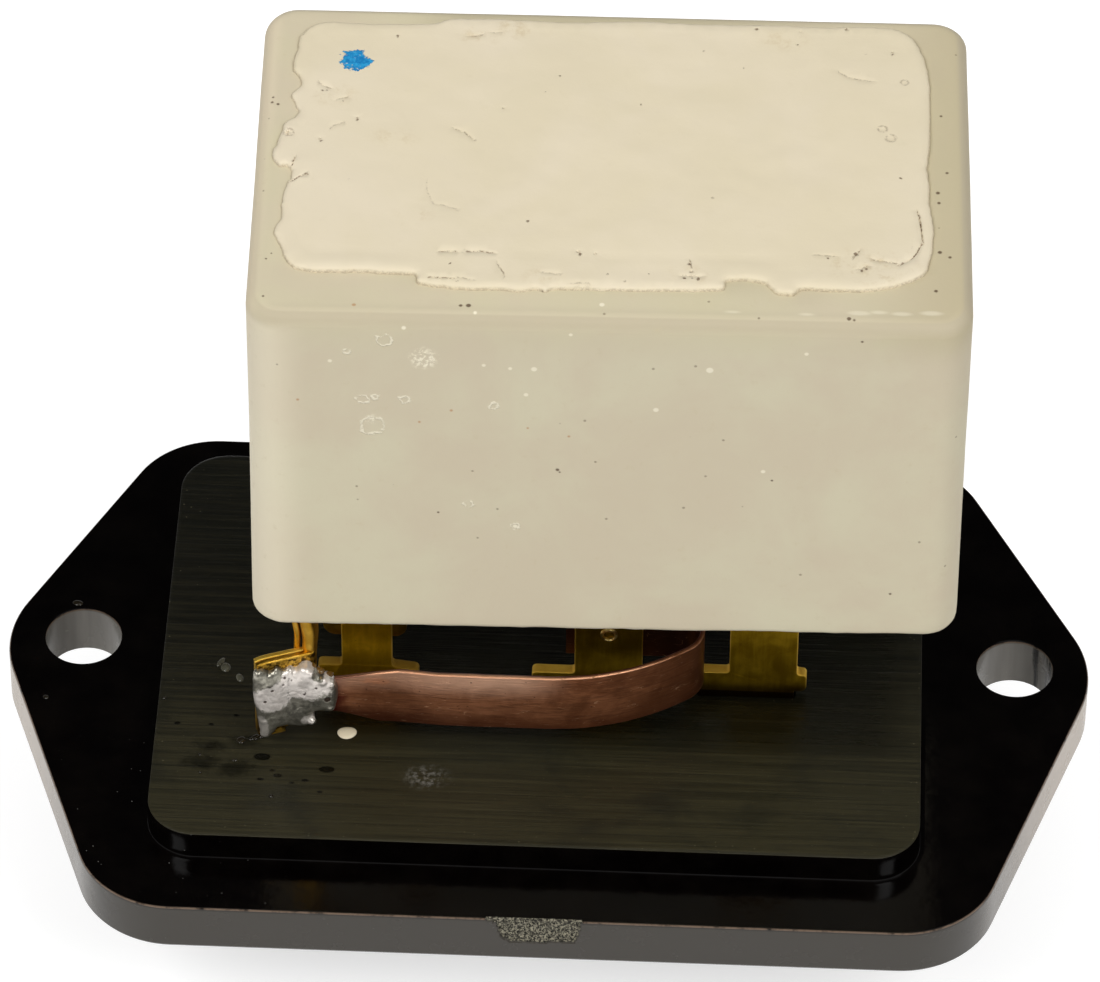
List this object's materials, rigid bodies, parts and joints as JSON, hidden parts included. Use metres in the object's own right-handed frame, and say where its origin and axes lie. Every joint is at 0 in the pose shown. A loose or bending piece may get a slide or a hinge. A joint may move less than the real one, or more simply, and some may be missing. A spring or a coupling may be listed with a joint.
{
  "type": "blower motor resistor",
  "caption": "Potted ceramic resistor block on stamped terminals over a moulded mounting plate, with a soldered thermal fuse strip and a blade connector below.",
  "frame": {"origin": "midway between the two mounting holes, on the plate's face towards the resistor block", "axes": "+X along the line of the mounting holes, +Y across the plate towards its shorter side, +Z from the plate towards the resistor block"},
  "size_m": [0.0718, 0.0429, 0.0615],
  "materials": {
    "phenolic": "moulded black thermoset, glossy flange and satin brushed pad",
    "terminal_brass": "stamped, tarnished",
    "lead_brass": "stamped, bright edges",
    "rivet_brass": "turned",
    "copper": "dull rolled copper with fine scratches",
    "solder": "pitted solder lump",
    "case_ceramic": "unglazed grey-green ceramic",
    "potting_cement": "smooth cream cement",
    "core_ceramic": "unglazed",
    "resistance_wire": "oxidised wire",
    "cap_steel": "pressed, plated"
  },
  "bodies": {
    "root": {"base_plate": "phenolic", "left_terminal": "terminal_brass", "middle_terminal": "terminal_brass", "right_terminal": "terminal_brass", "fuse_strip": "copper", "fuse_rivet": "rivet_brass", "fuse_lead": "lead_brass", "fuse_solder": "solder", "ceramic_case": "case_ceramic", "cement_fill": "potting_cement", "left_lead": "lead_brass", "right_lead": "lead_brass", "front_core": "core_ceramic", "front_winding": "resistance_wire", "front_cap_left": "cap_steel", "front_cap_right": "cap_steel", "rear_core": "core_ceramic", "rear_winding": "resistance_wire", "rear_cap_left": "cap_steel", "rear_cap_right": "cap_steel"}
  },
  "joints": []
}
